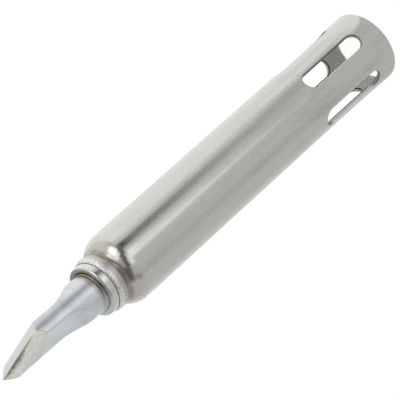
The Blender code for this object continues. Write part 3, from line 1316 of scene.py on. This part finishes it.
@dataclass
class KnifeBit:
    """Plated bar with hollowed flats and a slanting edge, on its copper root.

    The flat share turns a height above a sloping flat into about the distance from it.
    """

    blade: Blade = Blade()
    shank_radius: float = 2.10
    disc_radius: float = 3.45
    disc_low: float = 41.0
    disc_high: float = 43.0
    root_radius: float = 2.37
    root_foot: float = 48.04
    root_cone: float = 0.05
    ring_radius: float = 2.405
    ring_low: float = 48.42
    ring_high: float = 48.60
    seam_radius: float = 2.28
    seam_overlap: float = 0.1
    ramp_foot: float = 50.15
    ramp_angle: float = 27.0
    ramp_radius: float = 6.0
    flat_share: float = 0.94
    side_round: float = 0.13
    bevel_round: float = 0.16
    ridge_round: float = 0.04
    ridge_share: float = 0.3
    cell: float = 0.075
    probe: float = 0.002
    passes: int = 3
    steps: int = 160

    def half_thickness(self, height: np.ndarray) -> np.ndarray:
        """Return the distance of the hollowed flats from the middle plane.

        Args:
            height: Heights on the tip.

        Returns:
            The distances.
        """
        half = self.blade.thickness / 2
        slope = math.radians(self.ramp_angle)
        bend_drop = self.ramp_radius * (1 - math.cos(slope))
        bend_start = self.ramp_foot + (self.blade.reach - half - bend_drop) / math.tan(slope)
        bend_end = bend_start + self.ramp_radius * math.sin(slope)
        line = self.blade.reach - (height - self.ramp_foot) * math.tan(slope)
        under = np.clip(self.ramp_radius**2 - (bend_end - height) ** 2, 0.0, None)
        bend = half + self.ramp_radius - np.sqrt(under)
        return np.where(height < bend_start, line, np.where(height < bend_end, bend, half))

    def depth(self, places: np.ndarray) -> np.ndarray:
        """Return how far places lie outside the bar's skin, negative inside.

        Args:
            places: Array with x, y and z in its last axis.

        Returns:
            The distances, softened where two faces meet.
        """
        x, y, z = np.moveaxis(places, -1, 0)
        y = self.blade.off_middle(y, z)
        side = np.hypot(x, y) - self.blade.reach
        flat = (np.abs(y) - self.half_thickness(z)) * self.flat_share
        wide = np.sqrt(y * y + self.ridge_round**2) - self.ridge_round * self.ridge_share
        slant = self.blade.slant(x, wide, z)
        skin = side
        for face, soft in ((flat, self.side_round), (slant, self.bevel_round)):
            near = np.clip(soft - np.abs(skin - face), 0.0, None)
            skin = np.maximum(skin, face) + near**2 / (4 * soft)
        return np.maximum(skin, self.blade.foot - z)

    def bar(self, finish: Material) -> Object:
        """Return the bar: a net laid through a grid of cells and drawn onto the form.

        Args:
            finish: Material of the bar.

        Returns:
            The bar's object.
        """
        blade = self.blade
        margin = 2 * self.cell
        reach = blade.reach + margin
        point = blade.heel_height + 2 * blade.reach / math.tan(math.radians(blade.edge_angle))
        top = point + margin
        xs = np.arange(-reach, reach, self.cell)
        ys = np.arange(-reach, reach + blade.lean * (top - blade.foot), self.cell)
        zs = np.arange(blade.foot - margin, top, self.cell)
        grid = np.stack(np.meshgrid(xs, ys, zs, indexing="ij"), axis=-1)
        points, faces = net(grid, self.depth(grid))
        for _ in range(self.passes):
            points = points - self.slope(points) * self.depth(points)[:, None]
        obj = mesh_object("plated_bar", points, faces)
        face_outwards(obj.data)
        obj.data.materials.append(finish)
        return obj

    def slope(self, points: np.ndarray) -> np.ndarray:
        """Return the outward direction of the bar's skin.

        Args:
            points: Places on or near the skin, one row each.

        Returns:
            Unit vectors, one row each.
        """
        shifts = np.eye(3) * self.probe
        way = np.stack([self.depth(points + shift) - self.depth(points - shift) for shift in shifts], axis=1)
        return way / np.linalg.norm(way, axis=1)[:, None]

    def root_profile(self) -> list[Point]:
        """Return the closed profile of the heat disc, shank and copper ring.

        Returns:
            Points as (radius, height).
        """
        points = [(0.0, self.disc_low), (self.disc_radius, self.disc_low), (self.disc_radius, self.disc_high)]
        points += [(self.shank_radius, self.disc_high), (self.shank_radius, self.root_foot)]
        points += [(self.root_radius, self.root_foot + self.root_cone), (self.root_radius, self.ring_low)]
        middle = (self.blade.reach, (self.ring_low + self.ring_high) / 2)
        rise = self.ring_high - middle[1]
        points += arc(middle, self.ring_radius - self.blade.reach, -90.0, 90.0, steps=12, rise=rise)
        foot = self.blade.foot + self.seam_overlap
        return points + [(self.seam_radius, self.ring_high), (self.seam_radius, foot), (0.0, foot)]

    def build(self, tree: Tree, finish: Material, copper: Material) -> list[Object]:
        """Return the bar and its root, both standing for the knife bit.

        Args:
            tree: The lathe tree.
            finish: Material of the plated and tinned bar.
            copper: Material of the root.

        Returns:
            The two objects.
        """
        pieces = [self.bar(finish), turned("bit_root", self.root_profile(), self.steps, tree, copper)]
        return [declare(piece, "knife_bit") for piece in pieces]


# The studio


class Reading(Enum):
    """How the patches of a reflecting sheet are placed, besides their direction."""

    REACH = "by their distance along the table in millimetres"
    RISE = "by their height above the table in degrees"


# Limits of a patch that starts at the sheet's low end, or runs on beyond the table's edge.
START = -90.0
BEYOND = 3000.0


@dataclass(frozen=True)
class Patch:
    """Soft-edged light or dark patch of a reflecting sheet.

    It lies around a direction, in degrees to the right from the camera's side of the
    tip, with half its width on each side. Low and high are read as the sheet says.
    """

    around: float
    half: float
    low: float
    high: float
    glow: float
    soft: float = 6.0
    fade: float = 5.0


@dataclass(frozen=True)
class Sheet:
    """Glowing sheet that shows in reflections only, with each patch over those before it."""

    name: str
    reading: Reading
    tone: float
    patches: tuple[Patch, ...]

    def material(self) -> Material:
        """Return the sheet's glow.

        Returns:
            The material.
        """
        material, wire = new_material(self.name)
        way = wire.parts(wire.add("ShaderNodeTexCoord").outputs["Object"])
        x, y = way["X"], way["Y"]
        around = wire.math("DEGREES", wire.math("ARCTAN2", -y, x))
        reach = wire.math("SQRT", x * x + y * y)
        place = reach / MM
        if self.reading is Reading.RISE:
            place = wire.math("DEGREES", wire.math("ARCTAN2", way["Z"], reach))
        tone: Number = self.tone
        for patch in self.patches:
            side = wire.math("PINGPONG", around - patch.around, 180.0)
            mask = wire.between(side, patch.half - patch.soft, patch.half + patch.soft, 1.0, 0.0)
            mask = mask * wire.between(place, patch.low - patch.fade, patch.low + patch.fade)
            mask = mask * wire.between(place, patch.high - patch.fade, patch.high + patch.fade, 1.0, 0.0)
            node = wire.add("ShaderNodeMix", {0: mask, 2: tone, 3: patch.glow}, data_type="FLOAT")
            tone = wire.signal(node)
        wire.show(wire.add("ShaderNodeEmission", {"Strength": tone}))
        material.cycles.emission_sampling = "NONE"
        return material

    def lay(self, bm: bmesh.types.BMesh, height: float, front: float) -> None:
        """Put the sheet into the studio.

        Args:
            bm: The sheet's form.
            height: Its height in metres.
            front: World azimuth in degrees of the camera's side, which the sheet faces.
        """
        mesh = bpy.data.meshes.new(self.name)
        bm.to_mesh(mesh)
        bm.free()
        mesh.materials.append(self.material())
        obj = linked(self.name, mesh)
        turn = Matrix.Rotation(math.radians(front), 4, "Z")
        obj.matrix_world = Matrix.Translation((0.0, 0.0, height)) @ turn
        for ray in ("camera", "diffuse", "shadow", "transmission", "volume_scatter"):
            setattr(obj, "visible_" + ray, False)


@dataclass(frozen=True)
class Lamp:
    """Square lamp that faces the tip and doesn't show in its reflections.

    Around is its direction, in degrees to the right from the camera's side, and up
    is its height in degrees. Away and size are in metres and power is in watts.
    """

    name: str
    around: float
    up: float
    away: float
    size: float
    power: float
    aim_height: float = 0.045

    def hang(self, front: float) -> None:
        """Hang the lamp.

        Args:
            front: World azimuth in degrees of the camera's side.
        """
        light = bpy.data.lights.new(self.name, "AREA")
        light.size = self.size
        light.energy = self.power
        obj = linked(self.name, light)
        turn, rise = math.radians(front - self.around), math.radians(self.up)
        way = Vector((math.cos(rise) * math.cos(turn), math.cos(rise) * math.sin(turn), math.sin(rise)))
        obj.location = way * self.away + Vector((0.0, 0.0, self.aim_height))
        obj.rotation_euler = way.to_track_quat("Z", "Y").to_euler()
        obj.visible_camera = False
        obj.visible_glossy = False


@dataclass
class Studio:
    """Pale floor, soft lamps, reflecting sheets out of the picture, and the camera.

    Sizes of floor, table and tent and the nearest seen distance are in metres. The
    focal length, the frame and the target's place in it are in pixels.
    """

    tilt: float = 33.5
    front: float = -20.9
    focal: float = 3134.0
    frame_pixels: float = 400.0
    distance: float = 338.0
    target_height: float = 30.45
    target_pixel: Point = (197.32, 197.03)
    tip_way: Point = (-0.7426, -0.6698)
    sensor: float = 36.0
    nearest: float = 0.01
    floor_size: float = 6.0
    floor_tone: Colour = (0.85, 0.85, 0.85)
    floor_glow: float = 0.95
    table_radius: float = 1.39
    table_height: float = 0.00005
    tent_radius: float = 1.4
    tent_height: float = 0.001
    tent_foot: float = -0.01
    segments: int = 96
    table: Sheet = Sheet("table_sheet", Reading.REACH, 0.70, (
        Patch(180.0, 50.0, START, BEYOND, 0.90, 30.0),
        Patch(-105.0, 48.0, START, BEYOND, 1.12, 10.0),
        Patch(-56.0, 11.0, START, BEYOND, 0.82),
        Patch(-41.0, 11.0, 8.0, BEYOND, 0.62, 5.0, 6.0),
        Patch(-41.0, 9.5, 58.0, BEYOND, 0.15, 4.0, 16.0),
        Patch(-4.0, 2.6, 40.0, BEYOND, 1.42, 2.0, 12.0),
        Patch(-8.0, 12.0, 62.0, BEYOND, 1.28, 4.0, 4.0),
        Patch(54.0, 9.0, 12.0, BEYOND, 0.60, 8.0),
        Patch(-100.0, 58.0, START, 9.0, 1.12, 5.0, 3.0),
        Patch(0.0, 180.0, START, 3.9, 0.30, 6.0, 0.4),
    ))
    tent: Sheet = Sheet("tent_cloth", Reading.RISE, 0.66, (
        Patch(-115.0, 36.0, START, 60.0, 0.92, 12.0, 10.0),
        Patch(0.0, 180.0, 54.0, 120.0, 0.52, 6.0, 8.0),
        Patch(-48.0, 24.0, 18.0, 58.0, 1.40, 7.0, 4.0),
        Patch(-54.0, 12.0, 20.0, 40.0, 2.40, 4.0, 4.0),
        Patch(59.0, 9.0, START, 32.0, 0.42, 5.0),
        Patch(4.0, 15.0, START, 20.0, 1.25, 5.0, 4.0),
        Patch(46.0, 30.0, 34.0, 64.0, 0.14, 8.0, 4.0),
        Patch(-40.0, 13.0, START, 12.0, 0.16, 4.0),
        Patch(-30.0, 11.0, 6.0, 24.0, 0.12, 5.0, 4.0),
        Patch(-15.0, 13.0, 18.0, 37.0, 0.08, 5.0, 4.0),
        Patch(5.0, 14.0, 27.0, 46.0, 0.09, 5.0, 4.0),
    ))
    lamps: tuple[Lamp, ...] = (
        Lamp("overhead", 200.0, 75.0, 0.9, 0.7, 6.5),
        Lamp("key", -52.0, 31.0, 0.8, 0.24, 1.6),
    )

    def floor(self) -> None:
        """Make the plain pale floor. It keeps a faint shadow of the tip."""
        half = self.floor_size / 2
        corners = [(-half, -half, 0.0), (half, -half, 0.0), (half, half, 0.0), (-half, half, 0.0)]
        mesh = bpy.data.meshes.new("floor")
        mesh.from_pydata(corners, [], [(0, 1, 2, 3)])
        material, wire = new_material("pale_floor")
        paper = wire.add("ShaderNodeBsdfDiffuse", {"Color": self.floor_tone})
        seen = wire.signals(wire.add("ShaderNodeLightPath"))
        shown = wire.math("MAXIMUM", seen["Is Camera Ray"], seen["Is Glossy Ray"])
        shown = wire.math("MAXIMUM", shown, seen["Is Transmission Ray"]) * self.floor_glow
        glow = wire.add("ShaderNodeEmission", {"Color": WHITE})
        wire.show(wire.add("ShaderNodeMixShader", {0: shown, 1: paper, 2: glow}))
        mesh.materials.append(material)
        linked("floor", mesh)

    def sheets(self) -> None:
        """Lay the reflecting sheet on the table and hang the tent above it."""
        bm = bmesh.new()
        bmesh.ops.create_circle(bm, cap_ends=True, segments=self.segments, radius=self.table_radius)
        self.table.lay(bm, self.table_height, self.front)
        bm = bmesh.new()
        turns = {"u_segments": self.segments, "v_segments": self.segments // 2}
        bmesh.ops.create_uvsphere(bm, radius=self.tent_radius, **turns)
        low = [v for v in bm.verts if v.co.z < self.tent_foot]
        bmesh.ops.delete(bm, geom=low, context="VERTS")
        self.tent.lay(bm, self.tent_height, self.front)

    def world(self) -> None:
        """Make the plain white surroundings."""
        world = bpy.data.worlds.new("studio")
        bpy.context.scene.world = world
        world.use_nodes = True
        wire = Wiring(world.node_tree)
        back = world.node_tree.nodes["Background"]
        wire.feed(back.inputs["Color"], WHITE)
        wire.feed(back.inputs["Strength"], 1.0)

    def camera(self) -> None:
        """Set up the camera at the photograph's distance, tilt and roll."""
        c, s = math.cos(math.radians(self.tilt)), math.sin(math.radians(self.tilt))
        dx, dy = self.tip_way
        along = Vector((dx * c, dy * c, s))
        towards = Vector((-dx * s, -dy * s, c))
        beside = Vector((-dy, dx, 0.0))
        turn = math.radians(self.front)
        up = Vector((0.0, 0.0, 1.0))
        front = Vector((math.cos(turn), math.sin(turn), 0.0))
        right = Vector((math.sin(turn), -math.cos(turn), 0.0))
        axes = [up * along[k] + front * towards[k] + right * beside[k] for k in range(3)]
        away = self.distance * MM
        shift = [(pixel - self.frame_pixels / 2) / self.focal * away for pixel in self.target_pixel]
        place = Matrix(axes).transposed().to_4x4()
        offset = axes[0] * shift[0] - axes[1] * shift[1] - axes[2] * away
        place.translation = up * self.target_height * MM - offset
        data = bpy.data.cameras.new("camera")
        data.sensor_width = self.sensor
        data.lens = self.focal / self.frame_pixels * self.sensor
        data.clip_start = self.nearest
        obj = linked("camera", data)
        obj.matrix_world = place
        bpy.context.scene.camera = obj

    def build(self) -> None:
        """Set up the whole studio."""
        self.floor()
        self.sheets()
        self.world()
        for lamp in self.lamps:
            lamp.hang(self.front)
        self.camera()
        bpy.context.scene.view_settings.view_transform = "Standard"


def main() -> None:
    """Build and dress the tip, and set up the studio."""
    logging.basicConfig(level=logging.INFO, format="%(name)s: %(message)s")
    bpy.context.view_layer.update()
    groups = Groups()
    lathe = lathe_tree()
    steel = SatinSteel().material(groups)
    bright = BrightSteel().material(groups)
    plated = PlatedBar().material(groups)
    copper = CopperRoot().material(groups)
    pieces = [OuterTube().build(ring_tree(), steel), LipSleeve().build(lathe, bright)]
    pieces += KnifeBit().build(lathe, plated, copper)
    for piece in pieces:
        LOG.info("%s: %d faces", piece.name, len(piece.data.polygons))
    Studio().build()


if __name__ == "__main__":
    main()
